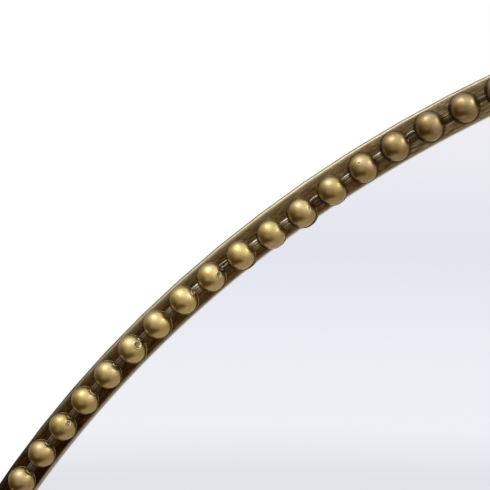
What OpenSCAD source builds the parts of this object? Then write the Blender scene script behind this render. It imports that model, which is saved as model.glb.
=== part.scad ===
// Arched wall mirror in a steel angle frame, trimmed all round with a strip of stamped domes.
// Every piece is drawn lying on its back: X to the right, Y up the mirror, Z out of the wall,
// with the wall at Z = 0 and the bottom edge at Y = 0. upright() then stands it up.

/* [Overall size] */
// Width over the outside of the frame
mirror_w = 914; // [600:1:1200]
// Height from the bottom edge to the crown of the arch
mirror_h = 1219; // [900:1:1800]
// Depth of the frame from its front face to the wall
frame_d = 25.4; // [23:0.1:40]

/* [Frame section] */
// Width of the front flange
flange_w = 12.5; // [11:0.1:20]
// Thickness of the steel angle
steel_t = 1.6; // [1.2:0.1:2.5]
// Rounding of the outer front edge
edge_r = 1.1; // [0.4:0.1:1.5]
// Rounding of the flange's inner lip
lip_r = 0.6; // [0.2:0.1:1]

/* [Frame joints] */
// Length of a splice plate to each side of the spring line
splice_reach = 20; // [12:1:40]
// Length of a corner angle's legs
corner_leg = 22; // [14:1:40]
// Thickness of the splice plates and corner angles
joint_plate_t = 2; // [1:0.1:3]
// Space between the frame's inner fittings and the wall
rear_clear = 1.5; // [0.5:0.1:2.5]

/* [Domed trim] */
// Diameter of a dome at its foot
dome_d = 10.2; // [8:0.1:11]
// Height of a dome above the flange
dome_h = 5; // [3:0.1:5.1]
// Wanted distance between dome centres, which is then evened out along each strip
trim_pitch = 13.2; // [12:0.1:16]
// Distance from the flange's middle to the strip's middle, towards the glass
trim_offset = 0.15; // [-0.6:0.05:0.8]
// Width of the bridge between two domes
bridge_w = 3.2; // [2:0.1:5]
// Thickness of the bridge between two domes
bridge_t = 0.9; // [0.4:0.1:1.5]
// Place of the first arch dome past the left spring line, as a share of the pitch
trim_shift = 0.305; // [0:0.005:0.995]
// How far the hand-laid strip strays towards the glass
stray_in = 1.7; // [0:0.1:2]
// Angle from the crown to the middle of that stray, to the left
stray_at = 35.3; // [10:0.1:60]
// Distance along the strip over which it strays
stray_len = 23; // [10:1:60]

/* [Glass and backing] */
// Thickness of the mirror glass
glass_t = 4; // [3:0.5:6]
// Thickness of the foam tape
tape_t = 1; // [0.5:0.1:2]
// Width of a strip of foam tape
tape_w = 25; // [12:1:40]
// Number of strips of foam tape
tape_count = 5; // [2:1:7]
// Distance from the ends of the tape to the edge of the glass
tape_end = 40; // [10:1:80]
// Thickness of the backing board
board_t = 9; // [6:0.5:11]
// Gap between the frame's wall and the edges of glass and board
edge_gap = 2; // [1:0.1:3]
// Length of a setting block or edge spacer
spacer_len = 60; // [20:1:100]

/* [Board clips] */
// Width of a clip
clip_w = 16; // [10:0.5:24]
// Reach of a clip over the back of the board
clip_reach = 18; // [14:0.5:30]
// Thickness of a clip
clip_t = 1.5; // [1:0.1:2]
// Clips round the arch
arch_clips = 5; // [3:1:9]
// Clips on each stile
stile_clips = 3; // [1:1:5]
// Clips on the bottom rail
rail_clips = 3; // [1:1:5]

/* [Screws] */
// Diameter of a clip screw's shank
clip_screw_d = 3; // [2.5:0.1:3.5]
// Diameter of a clip screw's head
clip_head_d = 6; // [5:0.1:7]
// Diameter of a hanger screw's shank
hanger_screw_d = 4; // [3.5:0.1:4.5]
// Diameter of a hanger screw's head
hanger_head_d = 7.5; // [6.5:0.1:8.5]
// Height of every screw head
head_h = 2; // [1.5:0.1:2.2]
// Board left in front of a screw's point
point_cover = 1.2; // [0.5:0.1:3]
// Clearance round a shank in a piece that it clamps
shank_clear = 0.3; // [0.1:0.05:0.6]

/* [Ring hangers] */
// Distance from the side of the frame to the middle of a hanger
hanger_inset = 130; // [100:1:160]
// Distance from the crown down to the rings' hinge line
hanger_drop = 330; // [260:1:500]
// Width of the hanger strap
strap_w = 14; // [10:0.5:16]
// Thickness of the hanger strap
strap_t = 1.5; // [1:0.1:2]
// Distance between the two screws of a hanger
strap_pitch = 15; // [12:0.5:20]
// Diameter of the ring's wire
wire_d = 3.3; // [2.6:0.1:4]
// Centre-line radius of the ring's lower bends
bend_r = 3; // [2.4:0.1:3.4]
// Room in the ring at each side of the strap
ring_side = 2; // [1.5:0.1:3]
// Running clearance between the ring's wire and the strap's knuckle
wire_clear = 0.05; // [0.02:0.01:0.1]

/* [Bumpers] */
// Diameter of a bumper where it meets the board
bumper_d = 14; // [11:0.5:20]
// Diameter of a bumper where it meets the wall
bumper_tip_d = 12; // [10:0.5:16]
// Distance from the outside of the frame to the middle of a bumper
bumper_inset = 45; // [38:1:80]
// Depth of the screw's recess in a bumper
bumper_recess = 4; // [3:0.1:5]

/* [Hidden] */
$fn = 64;
arch_fn = 360;
// Steps in the rounding of a sheet edge
edge_steps = 5;

// The arch is a true half circle on straight sides.
arch_r = mirror_w / 2;
spring_h = mirror_h - arch_r;
wall_r = arch_r - steel_t;
glass_inset = steel_t + edge_gap;

// Layers from the front back to the wall
flange_back = frame_d - steel_t;
glass_back = flange_back - glass_t;
tape_back = glass_back - tape_t;
board_back = tape_back - board_t;

// The strips run at a pitch that divides each side of the frame evenly.
trim_inset = flange_w / 2 + trim_offset;
strand_r = arch_r - trim_inset;
arch_domes = round(PI * strand_r / trim_pitch);
arch_step = 180 / arch_domes;
arch_pitch = PI * strand_r / arch_domes;
left_first = spring_h - (1 - trim_shift) * arch_pitch;
right_first = spring_h - trim_shift * arch_pitch;
cap_r = (pow(dome_d / 2, 2) + dome_h * dome_h) / (2 * dome_h);
// How far a bridge runs in under a dome
bridge_lap = 1.2;

// Fittings in the recess behind the board
seam_gap = 0.5;
clip_hole_back = 6;
// Screws go as deep into the board as its thickness lets them, in pilot holes.
board_bite = board_t - point_cover;
pilot_clear = 0.05;
point_len = 1.5;
point_taper = 0.3;
head_taper = 0.8;
drive_w = 0.9;
drive_len = 3.4;
drive_depth = 1.1;

// Hanger: the strap's end is curled into a knuckle that holds the ring's straight side.
wire_r = wire_d / 2;
bore_r = wire_r + wire_clear;
knuckle_r = bore_r + strap_t;
knuckle_lift = 0.2;
knuckle_z = board_back - knuckle_r - knuckle_lift;
hanger_x = arch_r - hanger_inset;
hanger_y = mirror_h - hanger_drop;
head_gap = 2;
ring_head_gap = 1.3;
strap_screw_1 = knuckle_r + head_gap + hanger_head_d / 2;
strap_screw_2 = strap_screw_1 + strap_pitch;
strap_tail = 7;
strap_corner = 3;
ring_half_w = strap_w / 2 + ring_side + wire_r;
ring_in_h = strap_screw_1 + hanger_head_d / 2 + ring_head_gap;
ring_arc_y = ring_in_h + wire_r - ring_half_w;

// Angles round the arch of the upper bumpers and the edge spacers, and heights of the side spacers
bumper_angle = 45;
spacer_angles = [45, 90, 135];
spacer_shares = [1 / 3, 2 / 3];
// Overrun of a cut past the face it opens
eps = 0.01;

steel_colour = "#4b3a1f";
trim_colour = "#a98a4d";
glass_colour = "#dfe3ea";
board_colour = "#4a3a2c";
tape_colour = "#d8d8d2";
rubber_colour = "#2b2b2b";
zinc_colour = "#9a9c9e";

function arc_points(x, y, r, from, to) =
  [for (i = [0:edge_steps]) let (a = from + (to - from) * i / edge_steps)
    [x + r * cos(a), y + r * sin(a)]];

// Angle section: the first coordinate runs inwards from the frame's outside, the second from the wall.
function angle_section() = concat(
  [[0, 0], [steel_t, 0], [steel_t, flange_back], [flange_w, flange_back]],
  arc_points(flange_w - lip_r, frame_d - lip_r, lip_r, 0, 90),
  arc_points(edge_r, frame_d - edge_r, edge_r, 90, 180)
);

// Inward stray of the strip at an angle from the crown, positive to the left
function stray(angle) =
  stray_in * exp(-pow((angle - stray_at) * PI / 180 * strand_r / stray_len, 2) / 2);

// Centres of the domes along each strip
function arch_centre(k) =
  let (a = 180 - (k + trim_shift) * arch_step, r = strand_r - stray(a - 90))
  [r * cos(a), spring_h + r * sin(a)];
arch_centres = [for (k = [0:arch_domes - 1]) arch_centre(k)];

function side_centres(x, first) =
  let (run = first - trim_inset, n = round(run / trim_pitch))
  [for (k = [0:n - 1]) [x, first - k * run / n]];
left_centres = side_centres(-strand_r, left_first);
right_centres = side_centres(strand_r, right_first);

rail_steps = round(2 * strand_r / trim_pitch);
rail_centres = [for (k = [0:rail_steps]) [-strand_r + 2 * strand_r * k / rail_steps, trim_inset]];

// Places round the frame's inside wall, each as [x, y, direction of the outward normal]
function arch_place(a) = [wall_r * cos(a), spring_h + wall_r * sin(a), a];
clip_places = concat(
  [for (i = [1:arch_clips]) arch_place(180 * i / (arch_clips + 1))],
  [for (i = [0:stile_clips - 1]) [-wall_r, spring_h * (i + 0.5) / stile_clips, 180]],
  [for (i = [0:stile_clips - 1]) [wall_r, spring_h * (i + 0.5) / stile_clips, 0]],
  [for (i = [0:rail_clips - 1]) [mirror_w * ((i + 0.5) / rail_clips - 0.5), steel_t, -90]]
);
bumper_places = [
  for (side = [-1, 1]) [side * (arch_r - bumper_inset), bumper_inset],
  for (side = [-1, 1]) let (r = arch_r - bumper_inset)
    [side * r * cos(bumper_angle), spring_h + r * sin(bumper_angle)]
];

module upright() {
  rotate([90, 0, 0]) children();
}

// Puts a fitting at a place with its own Y pointing inwards from the frame's wall.
module at_place(p) {
  translate([p[0], p[1], 0]) rotate([0, 0, p[2] + 90]) children();
}

module mirrored_sides() {
  for (side = [0, 1]) mirror([side, 0, 0]) children();
}

// Half space beyond the mitre line through the left bottom corner: above it, or below it
module beyond_mitre(above) {
  reach = 2 * flange_w;
  translate([-arch_r, 0, -eps])
    rotate([0, 0, 45])
      translate([-reach, above ? 0 : -reach, 0])
        cube([2 * reach, reach, frame_d + 2 * eps]);
}

module frame_arch() {
  color(steel_colour)
    translate([0, spring_h, 0])
      rotate_extrude(angle = 180, $fn = arch_fn)
        translate([arch_r, 0]) mirror([1, 0]) polygon(angle_section());
}

module frame_stile() {
  difference() {
    translate([-arch_r, spring_h, 0])
      rotate([90, 0, 0]) linear_extrude(spring_h) polygon(angle_section());
    beyond_mitre(false);
  }
}

module frame_left_stile() {
  color(steel_colour) frame_stile();
}

module frame_right_stile() {
  color(steel_colour) mirror([1, 0, 0]) frame_stile();
}

module frame_bottom_rail() {
  color(steel_colour)
    difference() {
      translate([-arch_r, 0, 0])
        rotate([90, 0, 90]) linear_extrude(mirror_w) polygon(angle_section());
      mirrored_sides() beyond_mitre(true);
    }
}

// A plate inside the wall that joins the arch to the right stile, curved above the spring line
module splice_plate() {
  height = board_back - rear_clear - seam_gap;
  bend = splice_reach / wall_r * 180 / PI;
  translate([0, spring_h, rear_clear])
    rotate_extrude(angle = bend, $fn = arch_fn)
      translate([wall_r - joint_plate_t, 0]) square([joint_plate_t, height]);
  translate([wall_r - joint_plate_t, spring_h - splice_reach, rear_clear])
    cube([joint_plate_t, splice_reach, height]);
}

module left_splice_plate() {
  color(steel_colour) mirror([1, 0, 0]) splice_plate();
}

module right_splice_plate() {
  color(steel_colour) splice_plate();
}

module corner_angle() {
  height = board_back - rear_clear - seam_gap;
  translate([-wall_r, steel_t, rear_clear])
    linear_extrude(height)
      polygon([
        [0, 0], [corner_leg, 0], [corner_leg, joint_plate_t], [joint_plate_t, joint_plate_t],
        [joint_plate_t, corner_leg], [0, corner_leg]
      ]);
}

module left_corner_angle() {
  color(steel_colour) corner_angle();
}

module right_corner_angle() {
  color(steel_colour) mirror([1, 0, 0]) corner_angle();
}

module dome() {
  difference() {
    translate([0, 0, dome_h - cap_r]) sphere(cap_r);
    translate([-dome_d, -dome_d, -2 * dome_d]) cube([2 * dome_d, 2 * dome_d, 2 * dome_d]);
  }
}

// A strip of domes joined by narrow bridges, lying on the flange
module trim_strip(centres) {
  translate([0, 0, frame_d]) {
    for (c = centres) translate(c) dome();
    for (k = [1:len(centres) - 1]) {
      a = centres[k - 1];
      d = centres[k] - a;
      inset = dome_d / 2 - bridge_lap;
      translate(a)
        rotate([0, 0, atan2(d[1], d[0])])
          translate([inset, -bridge_w / 2, 0]) cube([norm(d) - 2 * inset, bridge_w, bridge_t]);
    }
  }
}

module arch_trim_strip() {
  color(trim_colour) trim_strip(arch_centres);
}

module left_trim_strip() {
  color(trim_colour) trim_strip(left_centres);
}

module right_trim_strip() {
  color(trim_colour) trim_strip(right_centres);
}

module bottom_trim_strip() {
  color(trim_colour) trim_strip(rail_centres);
}

// A flat sheet with the frame's outline, drawn in from its outside
module arched_sheet(inset, thickness) {
  r = arch_r - inset;
  translate([0, spring_h, 0]) rotate_extrude(angle = 180, $fn = arch_fn) square([r, thickness]);
  translate([-r, inset, 0]) cube([2 * r, spring_h - inset, thickness]);
}

module mirror_glass() {
  color(glass_colour) translate([0, 0, glass_back]) arched_sheet(glass_inset, glass_t);
}

module foam_tape() {
  glass_r = arch_r - glass_inset;
  low = glass_inset + tape_end;
  color(tape_colour)
    for (i = [0:tape_count - 1]) {
      x = 2 * glass_r * ((i + 0.5) / tape_count - 0.5);
      high = spring_h + sqrt(pow(glass_r, 2) - pow(abs(x) + tape_w / 2, 2)) - tape_end;
      translate([x - tape_w / 2, low, tape_back]) cube([tape_w, high - low, tape_t]);
    }
}

// A pan-head screw with a crossed drive: its shank points to +Z from under the head at Z = 0
module pan_screw(shank_d, head_d, length) {
  difference() {
    union() {
      translate([0, 0, -head_h]) cylinder(d1 = head_d * head_taper, d2 = head_d, h = head_h);
      cylinder(d = shank_d, h = length - point_len);
      translate([0, 0, length - point_len])
        cylinder(d1 = shank_d, d2 = shank_d * point_taper, h = point_len);
    }
    for (turn = [0, 90])
      rotate([0, 0, turn])
        translate([-drive_len / 2, -drive_w / 2, -head_h - eps])
          cube([drive_len, drive_w, drive_depth + eps]);
  }
}

module pilot_hole(shank_d, length) {
  translate([0, 0, -eps]) cylinder(r = shank_d / 2 + pilot_clear, h = length + eps);
}

module at_clip_screws() {
  for (p = clip_places)
    at_place(p) translate([0, clip_reach - clip_hole_back, 0]) children();
}

module at_hangers() {
  mirrored_sides() translate([-hanger_x, hanger_y, 0]) children();
}

module at_hanger_screws() {
  at_hangers() for (drop = [strap_screw_1, strap_screw_2]) translate([0, -drop, 0]) children();
}

module at_bumpers() {
  for (p = bumper_places) translate(p) children();
}

module backing_board() {
  color(board_colour)
    difference() {
      translate([0, 0, board_back]) arched_sheet(glass_inset, board_t);
      at_clip_screws() translate([0, 0, board_back]) pilot_hole(clip_screw_d, board_bite);
      at_hanger_screws() translate([0, 0, board_back]) pilot_hole(hanger_screw_d, board_bite);
      at_bumpers() translate([0, 0, board_back]) pilot_hole(clip_screw_d, board_bite);
    }
}

module setting_blocks() {
  color(rubber_colour)
    for (side = [-1, 1])
      translate([side * arch_r / 2 - spacer_len / 2, steel_t, board_back])
        cube([spacer_len, edge_gap, flange_back - board_back]);
}

module edge_spacers() {
  bend = spacer_len / wall_r * 180 / PI;
  color(rubber_colour) {
    mirrored_sides()
      for (share = spacer_shares)
        translate([-wall_r, spring_h * share - spacer_len / 2, board_back])
          cube([edge_gap, spacer_len, flange_back - board_back]);
    for (a = spacer_angles)
      translate([0, spring_h, board_back])
        rotate([0, 0, a - bend / 2])
          rotate_extrude(angle = bend, $fn = arch_fn)
            translate([wall_r - edge_gap, 0]) square([edge_gap, flange_back - board_back]);
  }
}

// An L-shaped clip: one leg on the frame's wall, the other on the back of the board
module board_clip(seat) {
  difference() {
    translate([-clip_w / 2, 0, 0])
      rotate([90, 0, 90])
        linear_extrude(clip_w)
          polygon([
            [seat, rear_clear], [seat + clip_t, rear_clear],
            [seat + clip_t, board_back - clip_t], [clip_reach, board_back - clip_t],
            [clip_reach, board_back], [seat, board_back]
          ]);
    translate([0, clip_reach - clip_hole_back, board_back - clip_t - eps])
      cylinder(r = clip_screw_d / 2 + shank_clear, h = clip_t + 2 * eps);
  }
}

module board_clips() {
  arch_seat = wall_r - sqrt(pow(wall_r, 2) - pow(clip_w / 2, 2));
  color(zinc_colour)
    for (i = [0:len(clip_places) - 1])
      at_place(clip_places[i]) board_clip(i < arch_clips ? arch_seat : 0);
}

module clip_screws() {
  color(zinc_colour)
    at_clip_screws()
      translate([0, 0, board_back - clip_t])
        pan_screw(clip_screw_d, clip_head_d, clip_t + board_bite);
}

// Drawn about the ring's hinge line, which runs along X at the middle of the knuckle
module hanger_strap() {
  tail = strap_screw_2 + strap_tail;
  half = strap_w / 2;
  difference() {
    union() {
      translate([0, 0, board_back - strap_t])
        linear_extrude(strap_t)
          polygon([
            [-half, 0], [-half, -tail + strap_corner], [-half + strap_corner, -tail],
            [half - strap_corner, -tail], [half, -tail + strap_corner], [half, 0]
          ]);
      translate([-half, 0, knuckle_z]) rotate([0, 90, 0]) cylinder(r = knuckle_r, h = strap_w);
    }
    translate([-half - eps, 0, knuckle_z])
      rotate([0, 90, 0]) cylinder(r = bore_r, h = strap_w + 2 * eps);
    for (drop = [strap_screw_1, strap_screw_2])
      translate([0, -drop, board_back - strap_t - eps])
        cylinder(r = hanger_screw_d / 2 + shank_clear, h = strap_t + 2 * eps);
  }
}

module left_hanger_strap() {
  color(zinc_colour) translate([-hanger_x, hanger_y, 0]) hanger_strap();
}

module right_hanger_strap() {
  color(zinc_colour) translate([hanger_x, hanger_y, 0]) hanger_strap();
}

module hanger_screws() {
  color(zinc_colour)
    at_hanger_screws()
      translate([0, 0, board_back - strap_t])
        pan_screw(hanger_screw_d, hanger_head_d, strap_t + board_bite);
}

// A D of round wire, standing up from its straight side
module d_ring() {
  straight = ring_half_w - bend_r;
  translate([-straight, 0, 0]) rotate([0, 90, 0]) cylinder(r = wire_r, h = 2 * straight);
  mirrored_sides() {
    translate([straight, bend_r, 0])
      rotate([0, 0, -90])
        rotate_extrude(angle = 90) translate([bend_r, 0]) circle(r = wire_r);
    translate([ring_half_w, bend_r, 0])
      rotate([-90, 0, 0]) cylinder(r = wire_r, h = ring_arc_y - bend_r);
  }
  translate([0, ring_arc_y, 0])
    rotate_extrude(angle = 180) translate([ring_half_w, 0]) circle(r = wire_r);
}

module left_d_ring() {
  color(zinc_colour) translate([-hanger_x, hanger_y, knuckle_z]) d_ring();
}

module right_d_ring() {
  color(zinc_colour) translate([hanger_x, hanger_y, knuckle_z]) d_ring();
}

module wall_bumpers() {
  color(rubber_colour)
    at_bumpers()
      difference() {
        cylinder(d1 = bumper_tip_d, d2 = bumper_d, h = board_back);
        translate([0, 0, -eps])
          cylinder(r = clip_screw_d / 2 + shank_clear, h = board_back + 2 * eps);
        translate([0, 0, -eps]) cylinder(r = clip_head_d / 2 + shank_clear, h = bumper_recess + eps);
      }
}

module bumper_screws() {
  color(zinc_colour)
    at_bumpers()
      translate([0, 0, bumper_recess])
        pan_screw(clip_screw_d, clip_head_d, board_back - bumper_recess + board_bite);
}

upright() frame_arch();
upright() frame_left_stile();
upright() frame_right_stile();
upright() frame_bottom_rail();
upright() left_splice_plate();
upright() right_splice_plate();
upright() left_corner_angle();
upright() right_corner_angle();
upright() arch_trim_strip();
upright() left_trim_strip();
upright() right_trim_strip();
upright() bottom_trim_strip();
upright() mirror_glass();
upright() foam_tape();
upright() backing_board();
upright() setting_blocks();
upright() edge_spacers();
upright() board_clips();
upright() clip_screws();
upright() left_hanger_strap();
upright() right_hanger_strap();
upright() hanger_screws();
upright() left_d_ring();
upright() right_d_ring();
upright() wall_bumpers();
upright() bumper_screws();
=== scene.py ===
"""Dresses the arched wall mirror: a patinated steel angle frame, its strip of antique brass domes, silvered
glass, a fibreboard back and zinc-plated hanging parts, on a pale floor under soft studio light."""

import math
from collections import namedtuple

import bmesh
import bpy
from mathutils import Matrix, Vector, noise


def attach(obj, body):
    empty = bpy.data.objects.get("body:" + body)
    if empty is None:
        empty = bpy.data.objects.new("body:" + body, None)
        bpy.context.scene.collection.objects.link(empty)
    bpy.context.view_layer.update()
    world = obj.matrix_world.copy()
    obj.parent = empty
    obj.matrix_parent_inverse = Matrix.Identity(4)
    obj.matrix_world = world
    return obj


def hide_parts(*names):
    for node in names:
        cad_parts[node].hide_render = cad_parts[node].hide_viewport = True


bl_info = {
    "name": "Arched wall mirror",
    "version": (1, 0, 0),
    "blender": (4, 5, 0),
    "location": "View3D > Sidebar > Mirror",
    "description": "Builds the looks of an arched wall mirror with a domed trim strip",
    "category": "Object",
}

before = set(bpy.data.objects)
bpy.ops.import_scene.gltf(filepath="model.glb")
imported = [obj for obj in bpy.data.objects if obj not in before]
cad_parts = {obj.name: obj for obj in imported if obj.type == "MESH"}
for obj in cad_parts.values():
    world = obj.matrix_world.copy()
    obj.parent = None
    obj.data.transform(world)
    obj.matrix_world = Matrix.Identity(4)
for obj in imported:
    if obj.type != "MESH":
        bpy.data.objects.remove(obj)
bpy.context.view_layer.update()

MM = 0.001
MIRROR_BODY = "mirror"

# The frame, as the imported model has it, in millimetres.
ARCH_R = 457.0
SPRING_H = 762.0
FRONT_Y = -25.4
FLANGE_W = 12.5

# Where the strip runs: how far inside the frame's edge, how many domes the arch has, by what share of a
# pitch the first one lies past the spring, and the pitch on the straight runs.
TRIM_INSET = 6.4
STRAND_R = ARCH_R - TRIM_INSET
ARCH_DOMES = 107
TRIM_SHIFT = 0.305
TRIM_PITCH = 13.2

# The strip's small stray inwards on the upper left of the arch: how far, at how many degrees from the crown,
# and over what length of the arch.
STRAY_IN = 2.04
STRAY_AT = 35.9
STRAY_LEN = 21.9

# The arch's domes, counted from the left spring, that are near enough to a viewer to need every mark.
CLOSE_DOMES = range(19, 41)

# How many segments round and rings up a close dome has, and one of the many others.
CLOSE_MESH = (56, 18)
FAR_MESH = (14, 3)

# The width of the dark ring round a dome's foot, a painted contact shadow, on the first close domes, as a
# share of the full one, and the dome where it grows.
SHADOW_RING_LEAST = 0.4
SHADOW_RING_GROWS_AT = 32.5

# How high the darkening climbs a dome's foot where the bridges meet it, on the side of the next dome and of
# the last one, and how softly it ends, in millimetres: tarnish, with painted shade climbing high on the side
# of the last dome. Then how near the strip's line it starts, and how softly, as a cosine.
FOOT_DARK_NEXT = 0.3
FOOT_DARK_LAST = 3.2
FOOT_DARK_FADE = 0.8
FOOT_DARK_FROM = 0.64
FOOT_DARK_RANGE = 0.16

# The arch dome that hands have kept brightest, how many domes round it they reach, and where the browner
# ones lie.
HANDLED_AT = 28
HANDLED_REACH = 4.0
BROWN_FROM = 34.5
BROWN_TO = 41

# A mark that the press left: where it lies on its dome, in degrees (turn from the next dome, tilt from the
# top), how wide and deep it is and how high its lip stands, in millimetres, and how dark its stain is: stain
# with painted shade in its hollow. Its lip is drawn with pale tin as a painted highlight.
Mark = namedtuple("Mark", "turn tilt radius depth lip stain")
NOTCH = Mark(-3, 77, 0.85, 0.5, 0.22, 0.6)
MARKS = {
    19: [NOTCH],
    20: [NOTCH],
    21: [NOTCH],
    22: [NOTCH._replace(turn=4, lip=0.2)],
    23: [NOTCH._replace(turn=3, tilt=78), Mark(-15, 48, 0.95, 0.35, 0.3, 0.3)],
    24: [NOTCH._replace(radius=1.15, lip=0.2)],
    25: [NOTCH._replace(turn=4)],
    26: [Mark(-7, 46, 1.4, 0.6, 0.3, 0.5), NOTCH._replace(turn=6, radius=0.7, depth=0.4)],
    27: [NOTCH._replace(radius=0.8, depth=0.4, lip=0.1)],
    28: [NOTCH._replace(tilt=70, radius=0.8, depth=0.4)],
    29: [Mark(-16, 44, 1.0, 0.35, 0.22, 0.5), NOTCH._replace(radius=0.6, depth=0.3)],
    31: [Mark(-19, 33, 0.35, 0.08, 0.06, 0.0)],
    32: [Mark(-5, 45, 0.5, 0.2, 0.1, 0.3)],
    33: [Mark(-60, 22, 0.4, 0.08, 0.05, 0.15)],
    34: [Mark(89, 25, 0.28, 0.35, 0.02, 1.0), NOTCH._replace(tilt=84, radius=0.6, depth=0.3)],
    35: [Mark(-6, 66, 0.6, 0.4, 0.12, 0.9)],
    39: [NOTCH],
    40: [Mark(-12, 46, 0.9, 0.35, 0.15, 0.4)],
}

# How a mark is shaped, as shares of its radius: how far the finer mesh round it reaches, where the wall of
# its hollow stands and how wide its lip is. The finer mesh has a margin in radians.
FINER_REACH = 1.7
FINER_MARGIN = 0.06
HOLLOW_WALL = 0.72
LIP_WIDTH = 0.22

# Domes whose stamped collar shows at one side, with the direction that it shows in, in degrees up from the
# right, and how far a collar lies out of its dome's centre, in millimetres.
COLLARS = {26: -25, 27: -15, 28: -20, 29: -25, 30: -35, 32: -30, 33: 165, 39: -20}
COLLAR_OFFSET = 0.4

# A rod of a bridge, in millimetres: its width and height, how many ribs run along it, how dark the tarnish
# is on its outer and inner side (the darker inner side is painted shade), how much worn tin shows on its
# outer side as a painted highlight, how far out of the strip's line it lies, how much it bows outwards, and
# its length as a share of the gap's.
Rod = namedtuple("Rod", "width height ribs outer inner tin shift bow length")
RIBBED = Rod(3.2, 0.6, 5, 0.4, 0.75, 0.1, 0.0, 0.0, 1.0)
PLATE = Rod(2.9, 0.5, 2, 0.75, 0.9, 0.0, -0.3, 0.0, 1.0)
WIRE = Rod(0.6, 1.0, 1, 0.0, 0.3, 0.9, 1.2, 0.35, 1.0)
LIT = Rod(1.8, 0.75, 2, 0.0, 0.0, 0.9, 0.7, 0.0, 1.0)

# How far a bridge reaches into each dome, in millimetres, in how many steps a bowed rod bends, and how many
# columns of faces make one rib.
BRIDGE_GRIP = 1.2
BOW_STEPS = 6
RIB_COLUMNS = 6

# The rods of each kind of bridge. Then the kind that follows each close dome, where it isn't a dark one.
BRIDGES = {
    "dark": [RIBBED._replace(outer=0.65, inner=0.85, tin=0.08, ribs=4)],
    "brown": [RIBBED],
    "ridged": [LIT, Rod(2.0, 0.6, 3, 0.4, 0.55, 0.2, -0.9, 0.0, 1.0)],
    "lit": [LIT._replace(width=1.4, shift=0.8), Rod(2.1, 0.6, 3, 0.5, 0.7, 0.15, -0.8, 0.0, 1.0)],
    "plate": [PLATE, WIRE._replace(width=0.8)],
    "fork": [PLATE, WIRE, WIRE._replace(shift=0.55, bow=-0.2, length=0.6)],
    "blob": [
        PLATE._replace(width=2.6, height=0.3),
        Rod(2.3, 1.0, 1, 0.65, 0.9, 0.0, -0.4, -0.3, 0.85),
        WIRE._replace(shift=1.1, bow=0.4, length=0.7),
    ],
    "nub": [Rod(2.2, 1.3, 3, 0.0, 0.3, 0.0, 0.3, 0.0, 0.8), PLATE._replace(width=3.2, height=0.3)],
    "bar": [Rod(2.0, 0.9, 2, 0.6, 0.9, 0.2, 0.2, 0.0, 1.0)],
}
BRIDGE_KINDS = {
    27: "brown",
    28: "ridged",
    29: "fork",
    30: "ridged",
    31: "ridged",
    32: "plate",
    33: "lit",
    34: "lit",
    35: "blob",
    36: "nub",
    37: "bar",
}

# How large the brass's clouds, specks, rosy patches and dents are, and the steel's clouds, in millimetres.
BRASS_CLOUD = 3.5
BRASS_SPECK = 0.7
BRASS_PATCH = 4
BRASS_DENT = 2.2
STEEL_CLOUD = 14

# How many times as long as wide a brushed line is, and how many grains wide a plain finish's patches are.
GRAIN_STRETCH = 8
PATCH_GRAINS = 40

# How much the gold shows over the flange's width, from its outer edge (0) to the lip (1): worn gold, and a
# painted highlight along the rounded outer edge.
EDGE_WEAR_AND_HIGHLIGHT = [
    (0.0, 0.6),
    (0.03, 0.85),
    (0.055, 1.0),
    (0.075, 0.85),
    (0.1, 0.5),
    (0.144, 0.2),
    (0.21, 0.08),
    (0.35, 0.0),
]

# Heights, in metres, between which the brown is drawn paler towards the top, the outer edge's gold grows and
# then fades again, and the lip's tan grows fainter. The gold's rise and fall is a painted highlight where
# the rounded edge catches the overhead light, and the lip's tan is partly a painted highlight that is
# strongest low down.
PALES = (1.02, 1.16)
EDGE_HIGHLIGHT_RISE = (1.035, 1.095)
EDGE_HIGHLIGHT_FALL = (1.135, 1.165)
LIP_HIGHLIGHT_FADE = (1.04, 1.1)

# How far inside the lip the glass's painted reflection of the lip, a dull line, starts to fade and is gone,
# in millimetres.
LIP_REFLECTION_FADE = (0.1, 0.7)

# What the studio shows by height, from -1 straight down to 1 straight up, in linear red, green and blue.
# The bands stand in front, where glass and metal both see them. The last wall is for the glass alone.
BANDS = [
    (-0.288, (0.817, 0.82, 0.85)),
    (-0.25, (0.92, 0.925, 0.95)),
    (-0.19, (0.91, 0.915, 0.95)),
    (-0.10, (0.83, 0.83, 0.89)),
    (0.0, (0.91, 0.90, 0.93)),
    (0.12, (1.0, 1.0, 1.05)),
]
FRONT_WALL = [
    (-1.0, (0.9, 0.9, 0.9)),
    (-0.85, (0.11, 0.07, 0.015)),
    (-0.5, (0.11, 0.07, 0.015)),
    (-0.36, (0.5, 0.5, 0.5)),
    *BANDS,
    (0.37, (1.4, 1.5, 1.75)),
    (0.6, (2.1, 2.5, 3.3)),
    (0.8, (2.7, 3.25, 4.5)),
    (1.0, (2.2, 2.6, 3.6)),
]
LEFT_WALL = [
    (-0.93, (0.5, 0.5, 0.5)),
    (-0.8, (0.1, 0.07, 0.025)),
    (-0.3, (0.1, 0.07, 0.025)),
    (0.12, (0.42, 0.37, 0.28)),
    (0.5, (1.2, 1.2, 1.2)),
    (0.9, (2.5, 3.0, 4.2)),
]
RIGHT_WALL = [
    (-0.93, (1.3, 1.3, 1.3)),
    (-0.6, (0.85, 0.85, 0.85)),
    (-0.14, (0.9, 0.9, 0.9)),
    (0.12, (1.55, 1.65, 1.85)),
    (0.5, (2.4, 2.9, 4.0)),
    (0.9, (2.0, 2.35, 3.1)),
]
GLASS_WALL = [(-0.5, (1.0, 1.0, 1.0)), (-0.36, (0.86, 0.86, 0.86)), *BANDS]

# The strength of the white that lights whatever isn't shiny.
WORLD_STRENGTH = 0.85

# Where the camera stands and which way it looks, in metres.
CAMERA_AT = (-0.2180, -0.4237, 1.1537)
CAMERA_WAY = (-0.1566, 0.983, -0.0958)

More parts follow.
